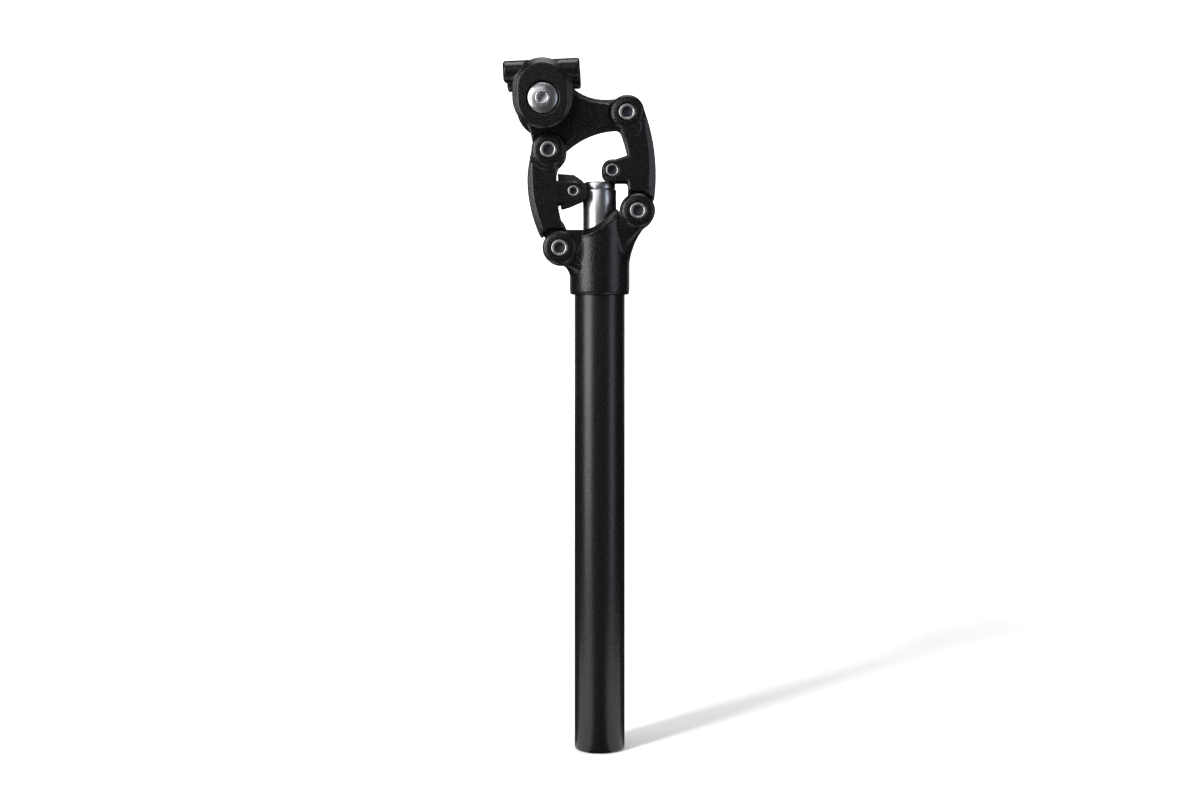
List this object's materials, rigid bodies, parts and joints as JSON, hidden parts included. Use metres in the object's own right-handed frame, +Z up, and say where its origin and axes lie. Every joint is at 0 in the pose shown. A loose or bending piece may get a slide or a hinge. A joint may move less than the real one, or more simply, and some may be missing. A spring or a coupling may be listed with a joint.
{
  "type": "suspension seatpost",
  "caption": "Straight bicycle seatpost with a parallelogram suspension head: two links, a sprung piston and a twin-rail saddle clamp.",
  "frame": {"origin": "centre of the post tube's lower end", "axes": "+X to the front of the bicycle, +Y to its left, +Z up along the post tube"},
  "size_m": [0.0808, 0.0604, 0.3714],
  "materials": {
    "tube_black": "satin black anodised tube with a fine grain",
    "casting_black": "forged and powder coated, coarse sparkling black grain",
    "chrome": "mirror polished hard chrome",
    "steel": "bright zinc plated steel",
    "roller_steel": "hardened and ground steel",
    "spring_steel": "oiled black spring steel",
    "polymer_black": "moulded black acetal",
    "bush_bronze": "sintered bronze with a dry lining",
    "rubber_black": "moulded black rubber"
  },
  "bodies": {
    "post": {"post_tube": "tube_black", "yoke": "casting_black", "guide_bush": "polymer_black", "wiper_seal": "rubber_black", "spring": "spring_steel", "rear_lower_axle": "steel", "rear_lower_axle_screw": "steel", "front_lower_axle": "steel", "front_lower_axle_screw": "steel"},
    "preload": {"preload_plug": "polymer_black", "spring_spacer": "polymer_black"},
    "piston": {"piston_tube": "chrome", "piston_cap": "chrome", "spring_seat": "polymer_black"},
    "rear_link": {"rear_link": "casting_black", "bumper": "rubber_black", "bumper_pin": "steel", "bumper_pin_screw": "steel", "rear_upper_axle": "steel", "rear_upper_axle_screw": "steel", "rear_lower_bush_left": "bush_bronze", "rear_lower_bush_right": "bush_bronze"},
    "front_link": {"front_link": "casting_black", "roller_pin": "steel", "roller_pin_screw": "steel", "front_upper_axle": "steel", "front_upper_axle_screw": "steel", "front_lower_bush_left": "bush_bronze", "front_lower_bush_right": "bush_bronze"},
    "roller": {"roller": "roller_steel", "roller_bush": "polymer_black"},
    "head": {"saddle_head": "casting_black", "rear_upper_bush_left": "bush_bronze", "rear_upper_bush_right": "bush_bronze", "front_upper_bush_left": "bush_bronze", "front_upper_bush_right": "bush_bronze"},
    "clamp": {"inner_clamp_left": "casting_black", "inner_clamp_right": "casting_black"},
    "jaw_right": {"outer_clamp_right": "casting_black", "clamp_washer_right": "steel", "clamp_bolt": "chrome"},
    "jaw_left": {"outer_clamp_left": "casting_black", "clamp_washer_left": "steel", "clamp_nut": "chrome"}
  },
  "joints": [
    {"name": "rear_link_swing", "type": "hinge", "parent": "post", "child": "rear_link", "pos_m": [-0.0213, 0, 0.2723], "axis": [0, -1, 0], "range_deg": [0, 55], "stiffness_Nm_per_rad": 23, "springref_deg": -13.41},
    {"name": "front_link_swing", "type": "hinge", "parent": "post", "child": "front_link", "pos_m": [0.0204, 0, 0.292], "axis": [0, -1, 0], "range_deg": [0, 55]},
    {"name": "head_level", "type": "hinge", "parent": "rear_link", "child": "head", "pos_m": [-0.0271, 0, 0.3242], "axis": [0, -1, 0], "range_deg": [-55, 0]},
    {"name": "piston_slide", "type": "slide", "parent": "post", "child": "piston", "axis": [0, 0, -1], "range_m": [0, 0.0206], "deforming": ["spring"]},
    {"name": "roller_spin", "type": "hinge", "parent": "front_link", "child": "roller", "pos_m": [0.0067, 0, 0.3135], "axis": [0, -1, 0], "continuous": true},
    {"name": "clamp_tilt", "type": "hinge", "parent": "head", "child": "clamp", "pos_m": [-0.0298, 0, 0.35], "axis": [0, -1, 0], "range_deg": [-18, 18]},
    {"name": "jaw_right_open", "type": "slide", "parent": "clamp", "child": "jaw_right", "axis": [0, -1, 0], "range_m": [0, 0.006]},
    {"name": "jaw_left_open", "type": "slide", "parent": "clamp", "child": "jaw_left", "axis": [0, 1, 0], "range_m": [0, 0.006]},
    {"name": "preload_adjust", "type": "slide", "parent": "post", "child": "preload", "axis": [0, 0, 1], "range_m": [0, 0.005], "deforming": ["spring"]}
  ],
  "couplings": [
    {"joint": "front_link_swing", "follows": "rear_link_swing", "ratio": 1},
    {"joint": "head_level", "follows": "rear_link_swing", "ratio": -1},
    {"joint": "piston_slide", "follows": "rear_link_swing", "m_per_rad": 0.0214},
    {"joint": "jaw_left_open", "follows": "jaw_right_open", "ratio": 1}
  ]
}
